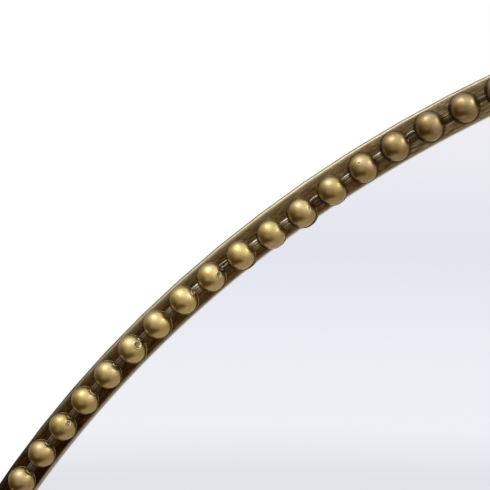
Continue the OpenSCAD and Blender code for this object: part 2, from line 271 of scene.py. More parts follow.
# A lamp panel: its place, aim and side in metres, its brightness, and its tint if it has one.
Panel = namedtuple("Panel", "name place aim side brightness tint")
AIM = Vector((-0.28, -0.03, 1.10))
PANELS = [
    Panel("overhead_panel", AIM + 1.3 * Vector((-0.32, -0.35, 0.88)), AIM, 0.6, 7.0, "#cfe1ff"),
    Panel("side_panel", AIM + 2.4 * Vector((0.75, -0.16, 0.62)), AIM, 0.85, 9.0, "#cfe1ff"),
    Panel("room_panel", Vector((0.6, -2.0, 2.6)), Vector((0, 0, 0.6)), 1.5, 1.5, None),
]

# The floor's radius, how far it lies under the mirror's foot, and between which radii it fades, in metres.
FLOOR_R = 1.2
FLOOR_DROP = 0.0005
FLOOR_FADE = (0.62, 0.85)


def linear(colour):
    """Linear red, green, blue and alpha of an sRGB hex colour."""
    parts = [int(colour[i : i + 2], 16) / 255 for i in (1, 3, 5)]
    return [c / 12.92 if c <= 0.04045 else ((c + 0.055) / 1.055) ** 2.4 for c in parts] + [1.0]


def colour_property(name, description, colour):
    """A colour that a user can change, with its default given in sRGB hex."""
    return bpy.props.FloatVectorProperty(
        name=name, description=description, default=linear(colour)[:3], subtype="COLOR", min=0.0, max=1.0
    )


def length_property(name, description, value):
    """A length that a user can change, with its default given in millimetres."""
    return bpy.props.FloatProperty(
        name=name, description=description, default=value * MM, min=0.0, unit="LENGTH", subtype="DISTANCE"
    )


# Settings


class MirrorTrimSettings(bpy.types.PropertyGroup):
    """Sizes and colours of the domed strip."""

    dome_d: length_property("Dome diameter", "Diameter of one dome at its foot", 10.5)
    dome_h: length_property("Dome height", "Height of one dome over the flange", 5.0)
    # The skirt is a dark ring round each dome's foot that stands in for its contact shadow: a painted
    # shadow.
    shadow_ring_w: length_property("Skirt width", "Width of the dark solder skirt round a dome's foot", 0.2)
    shadow_ring_h: length_property("Skirt height", "Height of that skirt", 0.06)
    brass: colour_property("Brass", "Satin antique brass on the domes", "#92773a")
    aged: colour_property("Aged brass", "Browner brass on the domes that are handled least", "#6c552d")
    rosy: colour_property("Rosy brass", "Pinkish patches where the brass has lost some zinc", "#9a7c5a")
    # Tarnish also paints the shade round the domes' feet, in the marks and on the rods' shaded sides, and
    # tin paints the highlights on the rods' lit sides and the marks' lips.
    tarnish_and_shade: colour_property("Tarnish", "Brown tarnish at the domes' feet and in the ribs", "#2b1c10")
    bright: colour_property("Rubbed brass", "Brass where hands and cloths have rubbed it", "#bda262")
    tin: colour_property("Worn tin", "Greyish tin worn bare on the upper sides of some bridges", "#c2b6a2")


class MirrorFrameSettings(bpy.types.PropertyGroup):
    """Colours of the steel frame."""

    umber: colour_property("Umber", "Darkest brown of the patina", "#241003")
    bronze: colour_property("Bronze", "Middle brown of the patina", "#4a3212")
    olive: colour_property("Olive", "Olive brown of the patina", "#5e4a2c")
    pale: colour_property("Pale streaks", "Palest streaks of the patina", "#857453")
    # The rubbed edge's gold and the worn lip's tan are also painted highlights along the frame's edges.
    rubbed_and_highlit_edge: colour_property("Rubbed edge", "Gold where the outer edge is rubbed", "#c0ae82")
    lip: colour_property("Worn lip", "Tan where the lip beside the glass is worn", "#b5a58c")
    grain: length_property("Grain", "Width of one brushed line, drawn coarse enough to show", 0.4)


class MirrorGlassSettings(bpy.types.PropertyGroup):
    """Look of the silvered glass."""

    silver: colour_property("Silver", "Colour of the silvering through the glass", "#f7f8fa")
    # The echo is a painted reflection of the lip's dark inner side in the glass.
    lip_reflection: colour_property("Echo", "Dull line where the glass shows the lip's back", "#9a8a6a")


class MirrorBackSettings(bpy.types.PropertyGroup):
    """Colours of what is on the back."""

    board: colour_property("Board", "Fibreboard", "#8a6a48")
    zinc: colour_property("Zinc", "Zinc plating", "#b9bcc0")
    rubber: colour_property("Rubber", "Black rubber", "#17171a")
    foam: colour_property("Foam", "White foam tape", "#dcdcd6")


class MirrorStageSettings(bpy.types.PropertyGroup):
    """Camera, lamps and floor."""

    lens: bpy.props.FloatProperty(
        name="Lens", description="Focal length on a 36 mm sensor", default=84.4, min=10.0, unit="CAMERA"
    )
    floor_colour: colour_property("Floor", "Pale floor", "#f5f5f6")


# Helpers


def add_node(tree, kind, inputs=None, **settings):
    """Adds a shader node, sets its own settings, and sets or links its inputs."""
    node = tree.nodes.new("ShaderNode" + kind)
    for name, value in settings.items():
        setattr(node, name, value)
    for name, value in (inputs or {}).items():
        if isinstance(value, bpy.types.NodeSocket):
            tree.links.new(value, node.inputs[name])
        else:
            node.inputs[name].default_value = value
    return node


def new_material(name):
    """An empty node material and its tree."""
    material = bpy.data.materials.new(name)
    material.use_nodes = True
    material.node_tree.nodes.clear()
    return material, material.node_tree


def finish_material(tree, inputs):
    """Puts a Principled surface with these inputs on the material's output."""
    surface = add_node(tree, "BsdfPrincipled", inputs)
    add_node(tree, "OutputMaterial", {"Surface": surface.outputs["BSDF"]})


def set_ramp(node, stops):
    """Sets a Color Ramp's stops, each a place and a linear colour."""
    ramp = node.color_ramp
    while len(ramp.elements) > len(stops):
        ramp.elements.remove(ramp.elements[-1])
    while len(ramp.elements) < len(stops):
        ramp.elements.new(1.0)
    for element, (place, colour) in zip(ramp.elements, stops):
        element.position = place
        element.color = (*colour[:3], 1.0)


def dress(node_names, material):
    """Gives CAD nodes their material."""
    for name in node_names:
        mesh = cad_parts[name].data
        mesh.materials.clear()
        mesh.materials.append(material)


def clamp(value):
    """A number held between 0 and 1."""
    return max(0.0, min(1.0, value))


def mesh_of(bm, name):
    """Makes a mesh of a finished bmesh."""
    mesh = bpy.data.meshes.new(name)
    bm.to_mesh(mesh)
    bm.free()
    return mesh


def new_piece(name, bm, material, body, replaces):
    """Makes an object of a finished bmesh, which rides on its body and replaces some nodes."""
    mesh = mesh_of(bm, name)
    mesh.materials.append(material)
    piece = bpy.data.objects.new(name, mesh)
    bpy.context.scene.collection.objects.link(piece)
    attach(piece, body)
    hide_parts(*replaces)


# Materials


def make_brass(settings):
    """Antique brass, stamped, tumbled and lacquered: a satin gold skin with soft dents and rosy patches,
    brown tarnish in the feet and ribs that also paints the shade round the feet, in the marks and on the
    rods' shaded sides, worn tin on some bridges that also paints their highlights and the marks' lips, and
    domes that have aged unevenly."""
    material, tree = new_material("antique_brass")
    place = add_node(tree, "TexCoord").outputs["Object"]
    tarnish_and_shade = add_node(tree, "Attribute", attribute_name="tarnish_and_shade").outputs["Fac"]
    tin = add_node(tree, "Attribute", attribute_name="tin").outputs["Fac"]
    age = add_node(tree, "Attribute", attribute_name="age").outputs["Fac"]
    cloud = add_node(
        tree, "TexNoise", {"Vector": place, "Scale": 1 / (BRASS_CLOUD * MM), "Detail": 3.0}
    ).outputs["Fac"]
    speck = add_node(
        tree, "TexNoise", {"Vector": place, "Scale": 1 / (BRASS_SPECK * MM), "Detail": 2.0}
    ).outputs["Fac"]
    young = add_node(
        tree, "MapRange", {"Value": age, "From Min": 0.35, "From Max": 0.0, "To Min": 0.0, "To Max": 0.3}
    ).outputs["Result"]
    rub = add_node(tree, "Math", {0: cloud, 1: 0.8, 2: young}, operation="MULTIPLY_ADD").outputs[0]
    rub = add_node(
        tree, "MapRange", {"Value": rub, "From Min": 0.38, "From Max": 1.1, "To Min": 0.0, "To Max": 0.9}
    ).outputs["Result"]
    fresh = add_node(
        tree, "MixRGB", {"Fac": rub, "Color1": (*settings.brass, 1), "Color2": (*settings.bright, 1)}
    ).outputs["Color"]
    patchy = add_node(tree, "Math", {0: speck, 1: 0.5, 2: age}, operation="MULTIPLY_ADD").outputs[0]
    ageing = add_node(
        tree, "MapRange", {"Value": patchy, "From Min": 0.25, "From Max": 1.25}
    ).outputs["Result"]
    skin = add_node(
        tree, "MixRGB", {"Fac": ageing, "Color1": fresh, "Color2": (*settings.aged, 1)}
    ).outputs["Color"]
    patch = add_node(
        tree, "TexNoise", {"Vector": place, "Scale": 1 / (BRASS_PATCH * MM), "Detail": 3.0}
    ).outputs["Fac"]
    patch = add_node(
        tree,
        "MapRange",
        {"Value": patch, "From Min": 0.42, "From Max": 0.62, "To Min": 0.0, "To Max": 0.45},
    ).outputs["Result"]
    flushed = add_node(
        tree, "MixRGB", {"Fac": patch, "Color1": skin, "Color2": (*settings.rosy, 1)}
    ).outputs["Color"]
    # Tarnish mixes in real tarnish and painted shade, and tin mixes in worn tin and painted highlights.
    stained_and_shaded = add_node(
        tree, "MixRGB", {"Fac": tarnish_and_shade, "Color1": flushed, "Color2": (*settings.tarnish_and_shade, 1)}
    ).outputs["Color"]
    shown = add_node(
        tree, "MixRGB", {"Fac": tin, "Color1": stained_and_shaded, "Color2": (*settings.tin, 1)}
    ).outputs["Color"]
    satin = add_node(
        tree, "MapRange", {"Value": speck, "From Min": 0.3, "From Max": 0.7, "To Min": 0.31, "To Max": 0.39}
    ).outputs["Result"]
    rough = add_node(tree, "Math", {0: tarnish_and_shade, 1: 0.45, 2: satin}, operation="MULTIPLY_ADD").outputs[0]
    rough = add_node(tree, "Math", {0: tin, 1: 0.2, 2: rough}, operation="MULTIPLY_ADD").outputs[0]
    dent = add_node(
        tree, "TexNoise", {"Vector": place, "Scale": 1 / (BRASS_DENT * MM), "Detail": 1.0}
    ).outputs["Fac"]
    relief = add_node(tree, "Math", {0: speck, 1: 0.2, 2: dent}, operation="MULTIPLY_ADD").outputs[0]
    bump = add_node(
        tree, "Bump", {"Height": relief, "Strength": 1.0, "Distance": 0.06 * MM}
    ).outputs["Normal"]
    bare = add_node(tree, "Math", {0: 1.0, 1: tarnish_and_shade}, operation="SUBTRACT", use_clamp=True).outputs[0]
    lacquer = add_node(tree, "Math", {0: bare, 1: 0.2}, operation="MULTIPLY").outputs[0]
    finish_material(
        tree,
        {
            "Base Color": shown,
            "Metallic": bare,
            "Specular IOR Level": 0.08,
            "Roughness": rough,
            "Normal": bump,
            "Coat Weight": lacquer,
            "Coat Roughness": 0.18,
        },
    )
    return material


def make_patina(settings, run):
    """Hand-patinated steel angle, brushed along its length: dark brown to olive, drawn paler towards the
    top, rubbed to gold at the outer edge and worn to tan at the lip beside the glass, both partly painted
    highlights that are brightest over the heights where the light catches those edges. run says how the
    piece lies: arch, upright or level."""
    material, tree = new_material("patinated_steel_" + run)
    coord = add_node(tree, "TexCoord").outputs["Object"]
    place = add_node(tree, "SeparateXYZ", {"Vector": coord})
    x, y, z = (place.outputs[axis] for axis in "XYZ")
    if run == "arch":
        up = add_node(tree, "Math", {0: z, 1: SPRING_H * MM}, operation="SUBTRACT").outputs[0]
        turn = add_node(tree, "Math", {0: x, 1: up}, operation="ARCTAN2").outputs[0]
        along = add_node(tree, "Math", {0: turn, 1: ARCH_R * MM}, operation="MULTIPLY").outputs[0]
        flat = add_node(tree, "CombineXYZ", {"X": x, "Z": up})
        reach = add_node(tree, "VectorMath", {0: flat.outputs[0]}, operation="LENGTH").outputs["Value"]
        inset = add_node(tree, "Math", {0: ARCH_R * MM, 1: reach}, operation="SUBTRACT").outputs[0]
    elif run == "upright":
        along = z
        reach = add_node(tree, "Math", {0: x}, operation="ABSOLUTE").outputs[0]
        inset = add_node(tree, "Math", {0: ARCH_R * MM, 1: reach}, operation="SUBTRACT").outputs[0]
    else:
        along = x
        inset = z
    strip = add_node(tree, "CombineXYZ", {"X": along, "Y": inset, "Z": y}).outputs[0]
    fine = 1 / settings.grain
    brushed = add_node(
        tree, "VectorMath", {0: strip, 1: (fine / GRAIN_STRETCH, fine, fine)}, operation="MULTIPLY"
    ).outputs[0]
    grain = add_node(
        tree, "TexNoise", {"Vector": brushed, "Scale": 1.0, "Detail": 3.0, "Roughness": 0.7}
    ).outputs["Fac"]
    cloud = add_node(
        tree, "TexNoise", {"Vector": coord, "Scale": 1 / (STEEL_CLOUD * MM), "Detail": 4.0}
    ).outputs["Fac"]
    drift = add_node(
        tree,
        "MapRange",
        {"Value": z, "From Min": PALES[0], "From Max": PALES[1], "To Min": 0.0, "To Max": 0.77},
    ).outputs["Result"]
    streaks = add_node(tree, "Math", {0: grain, 1: 2.2, 2: drift}, operation="MULTIPLY_ADD").outputs[0]
    mottle = add_node(tree, "Math", {0: cloud, 1: 0.4, 2: streaks}, operation="MULTIPLY_ADD").outputs[0]
    tone = add_node(
        tree, "MapRange", {"Value": mottle, "From Min": 1.35, "From Max": 2.4}
    ).outputs["Result"]
    patina = add_node(tree, "ValToRGB", {"Fac": tone})
    tones = [(0.0, settings.umber), (0.4, settings.bronze), (0.72, settings.olive), (1.0, settings.pale)]
    set_ramp(patina, tones)

    across = add_node(
        tree, "MapRange", {"Value": inset, "From Min": 0.0, "From Max": FLANGE_W * MM}
    ).outputs["Result"]
    # The outer edge's gold, on the front face only: partly wear, partly a painted highlight along the
    # rounded edge.
    wear_and_highlight = add_node(tree, "ValToRGB", {"Fac": across})
    set_ramp(wear_and_highlight, [(share, (gold, gold, gold)) for share, gold in EDGE_WEAR_AND_HIGHLIGHT])
    front = add_node(
        tree,
        "MapRange",
        {
            "Value": y,
            "From Min": (FRONT_Y + 0.1) * MM,
            "From Max": (FRONT_Y + 0.5) * MM,
            "To Min": 1.0,
            "To Max": 0.0,
        },
    ).outputs["Result"]
    # This ramp and the next make the edge's gold rise and fall with height: a painted highlight where the
    # rounded edge catches the overhead light.
    handled = add_node(
        tree,
        "MapRange",
        {"Value": z, "From Min": EDGE_HIGHLIGHT_RISE[0], "From Max": EDGE_HIGHLIGHT_RISE[1], "To Min": 0.06, "To Max": 1.0},
    ).outputs["Result"]
    edge_highlight_fall = add_node(
        tree,
        "MapRange",
        {"Value": z, "From Min": EDGE_HIGHLIGHT_FALL[0], "From Max": EDGE_HIGHLIGHT_FALL[1], "To Min": 1.0, "To Max": 0.42},
    ).outputs["Result"]
    patches = add_node(
        tree, "MapRange", {"Value": grain, "From Min": 0.25, "From Max": 0.55, "To Min": 0.6, "To Max": 1.0}
    ).outputs["Result"]
    rub = wear_and_highlight.outputs["Color"]
    for share in (front, handled, edge_highlight_fall, patches):
        rub = add_node(tree, "Math", {0: rub, 1: share}, operation="MULTIPLY").outputs[0]
    edged = add_node(
        tree, "MixRGB", {"Fac": rub, "Color1": patina.outputs["Color"], "Color2": (*settings.rubbed_and_highlit_edge, 1)}
    ).outputs["Color"]
    # The lip's tan: partly wear, partly a painted highlight on the lip's edge, fading with height.
    lip = add_node(
        tree, "MapRange", {"Value": across, "From Min": 0.93, "From Max": 0.98}
    ).outputs["Result"]
    lip_highlight = add_node(
        tree,
        "MapRange",
        {"Value": z, "From Min": LIP_HIGHLIGHT_FADE[0], "From Max": LIP_HIGHLIGHT_FADE[1], "To Min": 0.75, "To Max": 0.35},
    ).outputs["Result"]
    for share in (lip_highlight, patches):
        lip = add_node(tree, "Math", {0: lip, 1: share}, operation="MULTIPLY").outputs[0]
    skin = add_node(
        tree, "MixRGB", {"Fac": lip, "Color1": edged, "Color2": (*settings.lip, 1)}
    ).outputs["Color"]
    rough = add_node(
        tree, "MapRange", {"Value": grain, "From Min": 0.3, "From Max": 0.7, "To Min": 0.36, "To Max": 0.48}
    ).outputs["Result"]
    bump = add_node(
        tree, "Bump", {"Height": grain, "Strength": 0.6, "Distance": 0.06 * MM}
    ).outputs["Normal"]
    finish_material(tree, {"Base Color": skin, "Metallic": 1.0, "Roughness": rough, "Normal": bump})
    return material


def make_silver(settings):
    """Float glass silvered behind: a smooth, faintly cool mirror, with a painted reflection of the lip's
    dark inner side as a dull line along its edge."""
    material, tree = new_material("silvered_glass")
    place = add_node(tree, "SeparateXYZ", {"Vector": add_node(tree, "TexCoord").outputs["Object"]})
    up = add_node(tree, "Math", {0: place.outputs["Z"], 1: SPRING_H * MM}, operation="SUBTRACT").outputs[0]
    up = add_node(tree, "Math", {0: up, 1: 0.0}, operation="MAXIMUM").outputs[0]
    flat = add_node(tree, "CombineXYZ", {"X": place.outputs["X"], "Z": up}).outputs[0]
    reach = add_node(tree, "VectorMath", {0: flat}, operation="LENGTH").outputs["Value"]
    inset = add_node(tree, "Math", {0: ARCH_R * MM, 1: reach}, operation="SUBTRACT").outputs[0]
    inset = add_node(tree, "Math", {0: inset, 1: place.outputs["Z"]}, operation="MINIMUM").outputs[0]
    # A dull line along the glass's edge: a painted reflection of the lip's dark inner side.
    clear = add_node(
        tree,
        "MapRange",
        {
            "Value": inset,
            "From Min": (FLANGE_W + LIP_REFLECTION_FADE[0]) * MM,
            "From Max": (FLANGE_W + LIP_REFLECTION_FADE[1]) * MM,
        },
    ).outputs["Result"]
    shown = add_node(
        tree, "MixRGB", {"Fac": clear, "Color1": (*settings.lip_reflection, 1), "Color2": (*settings.silver, 1)}
    ).outputs["Color"]
    finish_material(tree, {"Base Color": shown, "Metallic": 1.0, "Roughness": 0.0})
    return material


def make_plain(name, colour, grain_mm, contrast, roughness, metallic=0.0, bump_mm=0.02):
    """A plain finish: fine clouds of colour, roughness and relief, and larger patches of colour."""
    material, tree = new_material(name)
    coord = add_node(tree, "TexCoord")
    cloud = add_node(
        tree, "TexNoise", {"Vector": coord.outputs["Object"], "Scale": 1000.0 / grain_mm, "Detail": 4.0}
    )
    patches = add_node(
        tree,
        "TexNoise",
        {"Vector": coord.outputs["Object"], "Scale": 1000.0 / (PATCH_GRAINS * grain_mm), "Detail": 5.0},
    )
    mixed = add_node(
        tree, "Math", {0: patches.outputs["Fac"], 1: 0.9, 2: cloud.outputs["Fac"]}, operation="MULTIPLY_ADD"
    )
    tone = add_node(tree, "MapRange", {"Value": mixed.outputs[0], "From Min": 0.45, "From Max": 1.45})
    low = tuple(c * (1 - contrast) for c in colour)
    high = tuple(min(1.0, c * (1 + contrast)) for c in colour)
    ramp = add_node(tree, "ValToRGB", {"Fac": tone.outputs["Result"]})
    set_ramp(ramp, [(0.25, low), (0.75, high)])
    rough = add_node(
        tree,
        "MapRange",
        {
            "Value": cloud.outputs["Fac"],
            "From Min": 0.3,
            "From Max": 0.7,
            "To Min": roughness - 0.06,
            "To Max": roughness + 0.06,
        },
    )
    bump = add_node(
        tree, "Bump", {"Height": cloud.outputs["Fac"], "Strength": 0.4, "Distance": bump_mm * MM}
    )
    finish_material(
        tree,
        {
            "Base Color": ramp.outputs["Color"],
            "Metallic": metallic,
            "Roughness": rough.outputs["Result"],
            "Normal": bump.outputs["Normal"],
        },
    )
    return material


# The strip's line


def stray(angle):
    """How far the strip strays inwards at an angle from the crown, in millimetres; the left is positive."""
    run = math.radians(angle - STRAY_AT) * STRAND_R / STRAY_LEN
    return STRAY_IN * math.exp(-run * run / 2)


def arch_places():
    """Places of the arch's domes on the flange, from the left spring to the right one."""
    step = 180.0 / ARCH_DOMES
    places = []
    for k in range(ARCH_DOMES):
        angle = 180.0 - (k + TRIM_SHIFT) * step
        r = STRAND_R - stray(angle - 90)
        a = math.radians(angle)
        places.append(Vector((r * math.cos(a), FRONT_Y, SPRING_H + r * math.sin(a))))
    return places


def side_places(x, first):
    """Places of a stile's domes, from the top one down."""
    run = first - TRIM_INSET
    count = round(run / TRIM_PITCH)
    return [Vector((x, FRONT_Y, first - k * run / count)) for k in range(count)]


def rail_places():
    """Places of the bottom rail's domes, from corner to corner."""
    count = round(2 * STRAND_R / TRIM_PITCH)
    return [Vector((-STRAND_R + 2 * STRAND_R * k / count, FRONT_Y, TRIM_INSET)) for k in range(count + 1)]


# The strip's shapes


def ball_of(settings):
    """Radius of the ball that a dome is part of, and its centre's height, in millimetres."""
    r = settings.dome_d / MM / 2
    h = settings.dome_h / MM
    ball = (r * r + h * h) / (2 * h)
    return ball, h - ball


def ring_template(name, profile, segments):
    """A profile of (radius, height, tarnish) points, in millimetres, spun round the z axis and closed."""
    bm = bmesh.new()
    tarnish_and_shade = bm.verts.layers.float.new("tarnish_and_shade")
    points = []
    for radius, height, stain in profile:
        v = bm.verts.new((radius, 0.0, height))
        v[tarnish_and_shade] = stain
        points.append(v)
    edges = [bm.edges.new(pair) for pair in zip(points, points[1:])]
    bmesh.ops.spin(
        bm,
        geom=points + edges,
        cent=(0, 0, 0),
        axis=(0, 0, 1),
        angle=math.tau,
        steps=segments,
        use_merge=True,
    )
    bmesh.ops.remove_doubles(bm, verts=bm.verts, dist=1e-4)
    bmesh.ops.contextual_create(bm, geom=[e for e in bm.edges if e.is_boundary])
    bmesh.ops.recalc_face_normals(bm, faces=bm.faces)
    for face in bm.faces:
        face.smooth = len(face.verts) < 5 and face.calc_center_median().z > 0.05
    return mesh_of(bm, name)


def dome_template(settings, segments, rings, shadow_ring_w):
    """One dome with its foot on the plane z = 0, in millimetres, as a mesh to be copied."""
    ball, centre = ball_of(settings)
    shadow_ring_h = settings.shadow_ring_h / MM
    sweep = math.acos((shadow_ring_h - centre) / ball)
    profile = []
    for k in range(rings + 1):
        a = sweep * k / rings
        profile.append((ball * math.sin(a), centre + ball * math.cos(a), 0.2 if k == rings else 0.0))
    foot = profile[-1][0]
    # The lowest ring is drawn a little dark and the ring round the foot fully dark: a painted contact shadow
    # round the dome.
    profile += [(foot + 0.02, shadow_ring_h, 1.0), (foot + shadow_ring_w, 0.0, 1.0)]
    mesh = ring_template("dome_template", profile, segments)
    darken_dome_ends(mesh)
    return mesh


def darken_dome_ends(mesh):
    """Darkens a dome's foot where the bridges meet it, at both ends of its x axis: tarnish, and painted
    shade that climbs higher on the side of the last dome.
    """
    bm = bmesh.new()
    bm.from_mesh(mesh)
    tarnish_and_shade = bm.verts.layers.float["tarnish_and_shade"]
    for v in bm.verts:
        top = FOOT_DARK_NEXT if v.co.x > 0 else FOOT_DARK_LAST
        low = clamp((top - v.co.z) / FOOT_DARK_FADE)
        end = clamp((abs(v.co.x) / max(v.co.xy.length, 0.01) - FOOT_DARK_FROM) / FOOT_DARK_RANGE)
        v[tarnish_and_shade] = max(v[tarnish_and_shade], low * end)
    bm.to_mesh(mesh)
    bm.free()


def collar_template(settings, segments):
    """The stamped collar round a dome: a dark groove and a thin bright rim."""
    r = settings.dome_d / MM / 2
    groove = [(r - 0.9, 0.1, 0.8), (r - 0.26, 0.1, 0.8)]
    rim = [(r - 0.22, 0.3, 0.3), (r - 0.1, 0.32, 0.25), (r, 0.2, 0.5), (r + 0.04, 0.0, 0.9)]
    return ring_template("collar_template", groove + rim, segments)


def mark_dome(template, settings, marks):
    """A copy of a dome with its marks pressed in, on a mesh made finer round each of them."""
    ball, height = ball_of(settings)
    centre = Vector((0, 0, height))
    bm = bmesh.new()
    bm.from_mesh(template)
    tarnish_and_shade = bm.verts.layers.float["tarnish_and_shade"]
    tin = bm.verts.layers.float.new("tin")
    ways = []
    for mark in marks:
        turn = math.radians(mark.turn)
        tilt = math.radians(mark.tilt)
        across = math.sin(tilt)
        ways.append(Vector((across * math.cos(turn), across * math.sin(turn), math.cos(tilt))))
    for mark, way in zip(marks, ways):
        reach = FINER_REACH * mark.radius / ball + FINER_MARGIN
        near = set()
        for face in bm.faces:
            middle = face.calc_center_median() - centre
            on_ball = middle.length > 0.9 * ball
            if on_ball and middle.angle(way) < reach:
                near.update(face.edges)
        bmesh.ops.subdivide_edges(bm, edges=list(near), cuts=2, use_grid_fill=True)
    foot = settings.shadow_ring_h / MM + 0.05
    for v in bm.verts:
        if v.co.z < foot:
            continue
        arm = v.co - centre
        lift = 0.0
        stain = v[tarnish_and_shade]
        for mark, way in zip(marks, ways):
            share = arm.angle(way) * ball / mark.radius
            hollow = 1 / (1 + (share / HOLLOW_WALL) ** 6)
            rim = math.exp(-(((share - 1) / LIP_WIDTH) ** 2))
            lift += mark.lip * rim - mark.depth * hollow
            # The lip gets pale tin as a painted highlight, and the hollow gets the stain as painted shade.
            v[tin] = max(v[tin], min(0.4, 0.8 * mark.lip) * rim)
            stain = max(stain, mark.stain * hollow)
        v.co = centre + arm.normalized() * (ball + lift)
        v[tarnish_and_shade] = stain
    bmesh.ops.recalc_face_normals(bm, faces=bm.faces)
    return mesh_of(bm, "marked_dome")


def rod_template(rod, length, columns):
    """One rod of a bridge along x, in millimetres, its middle over the origin and its foot on z = 0."""
    half = rod.width / 2
    bm = bmesh.new()
    tarnish_and_shade = bm.verts.layers.float.new("tarnish_and_shade")
    tin = bm.verts.layers.float.new("tin")
    row = []
    for k in range(columns + 1):
        share = 2 * k / columns - 1
        rib = 0.5 + 0.5 * math.cos(math.pi * rod.ribs * (share + 1 / rod.ribs))
        crown = math.sqrt(max(0.0, 1 - share**4))
        height = rod.height * (0.15 + 0.65 * crown + 0.2 * rib)
        v = bm.verts.new((-0.5 * length, rod.shift + half * share, height))
        # The outer side is drawn paler, with worn tin as a painted highlight on its ribs, and the inner side
        # darker, as painted shade; the ribs' valleys hold darker tarnish and the feet are fully dark, a
        # painted shade where the rod meets the flange.
        outwards = clamp(0.5 + 2.5 * share)
        side = rod.inner + (rod.outer - rod.inner) * outwards
        v[tarnish_and_shade] = side + max(0.0, 0.95 - side) * (1 - rib) ** 2
        v[tin] = rod.tin * outwards * (0.4 + 0.6 * rib)
        row.append(v)
    feet = [bm.verts.new((-0.5 * length, rod.shift + half * sign, 0.0)) for sign in (1, -1)]
    for v in feet:
        v[tarnish_and_shade] = 1.0
    end = [bm.faces.new(row + feet)]
    steps = BOW_STEPS if rod.bow else 1
    for k in range(steps):
        made = bmesh.ops.extrude_face_region(bm, geom=end)["geom"]
        moved = [v for v in made if isinstance(v, bmesh.types.BMVert)]
        bend = rod.bow * (math.sin(math.pi * (k + 1) / steps) - math.sin(math.pi * k / steps))
        bmesh.ops.translate(bm, verts=moved, vec=(length / steps, bend, 0))
        if k:
            bmesh.ops.delete(bm, geom=end, context="FACES_ONLY")
        end = [f for f in made if isinstance(f, bmesh.types.BMFace)]
    bmesh.ops.recalc_face_normals(bm, faces=bm.faces)
    for face in bm.faces:
        face.smooth = len(face.verts) < 5
    return mesh_of(bm, "rod_template")


def stand_on_flange(place, along):
    """Matrix from a template's millimetres, x along the strip and z out of the front, to the scene."""
    out = Vector((0, -1, 0))
    side = out.cross(along).normalized()
    turn = Matrix((along, side, out)).transposed().to_4x4()
    return Matrix.Scale(MM, 4) @ Matrix.Translation(place) @ turn


def copy_in(bm, template, matrix, age):
    """Adds a template to a bmesh, where a matrix puts it, with one age for all of it."""
    start = len(bm.verts)
    bm.from_mesh(template)
    bm.verts.ensure_lookup_table()
    fresh = bm.verts[start:]
    layer = bm.verts.layers.float["age"]
    for v in fresh:
        v[layer] = age
    bmesh.ops.transform(bm, matrix=matrix, verts=fresh)


def arch_age(k):
    """How far an arch dome has aged, from 0 to 1: least where it is handled most, with some chance."""
    handled = math.exp(-(((k - HANDLED_AT) / HANDLED_REACH) ** 2))
    brown = 1 / (1 + math.exp(-(k - BROWN_FROM) / 0.6)) / (1 + math.exp((k - BROWN_TO) / 0.8))
    chance = noise.noise(Vector((k * 0.9, 3.7, 0)))
    return clamp(0.35 - 0.35 * handled + 0.5 * brown + 0.12 * chance)


def build_strip(name, places, settings, brass, close=()):
    """A strip of domes and bridges that replaces the node of the same name; close ones show every mark."""
    plain_dome = dome_template(settings, *FAR_MESH, settings.shadow_ring_w / MM)
    collar = collar_template(settings, CLOSE_MESH[0])
    scratch = [plain_dome, collar]
    bm = bmesh.new()
    for layer in ("tarnish_and_shade", "tin", "age"):
        bm.verts.layers.float.new(layer)
    ages = [arch_age(k) for k in range(len(places))]
    for k, place in enumerate(places):
        ahead = places[min(k + 1, len(places) - 1)] - places[max(k - 1, 0)]
        stand = stand_on_flange(place, ahead.normalized())
        dome = plain_dome
        if k in close:
            spread = SHADOW_RING_LEAST + (1 - SHADOW_RING_LEAST) / (1 + math.exp(SHADOW_RING_GROWS_AT - k))
            dome = dome_template(settings, *CLOSE_MESH, spread * settings.shadow_ring_w / MM)
            scratch.append(dome)
            if k in MARKS:
                dome = mark_dome(dome, settings, MARKS[k])
                scratch.append(dome)
            if k in COLLARS:
                way = math.radians(COLLARS[k])
                offset = Vector((math.cos(way), 0, math.sin(way))) * COLLAR_OFFSET
                copy_in(bm, collar, stand_on_flange(place + offset, ahead.normalized()), ages[k])
        copy_in(bm, dome, stand, ages[k])
    for k, (a, b) in enumerate(zip(places, places[1:])):
        gap = (b - a).length - settings.dome_d / MM + 2 * BRIDGE_GRIP
        kind = BRIDGE_KINDS.get(k, "dark") if k in close else "brown"
        for rod in BRIDGES[kind]:
            columns = RIB_COLUMNS * rod.ribs if k in close else RIB_COLUMNS
            template = rod_template(rod, gap * rod.length, columns)
            copy_in(bm, template, stand_on_flange((a + b) / 2, (b - a).normalized()), ages[k])
            scratch.append(template)
    for template in scratch:
        bpy.data.meshes.remove(template)
    new_piece("dressed_" + name, bm, brass, MIRROR_BODY, replaces=[name])


# Operators


class MIRROR_OT_trim(bpy.types.Operator):
    """Build the four strips of antique brass domes"""

    bl_idname = "mirror.trim"
    bl_label = "Domed trim strips"

    def execute(self, context):
        settings = context.scene.mirror_trim
        brass = make_brass(settings)
        pitch = math.pi * STRAND_R / ARCH_DOMES
        build_strip("arch_trim_strip", arch_places(), settings, brass, close=CLOSE_DOMES)
        left = side_places(-STRAND_R, SPRING_H - (1 - TRIM_SHIFT) * pitch)
        right = side_places(STRAND_R, SPRING_H - TRIM_SHIFT * pitch)
        build_strip("left_trim_strip", left, settings, brass)
        build_strip("right_trim_strip", right, settings, brass)
        build_strip("bottom_trim_strip", rail_places(), settings, brass)
        return {"FINISHED"}


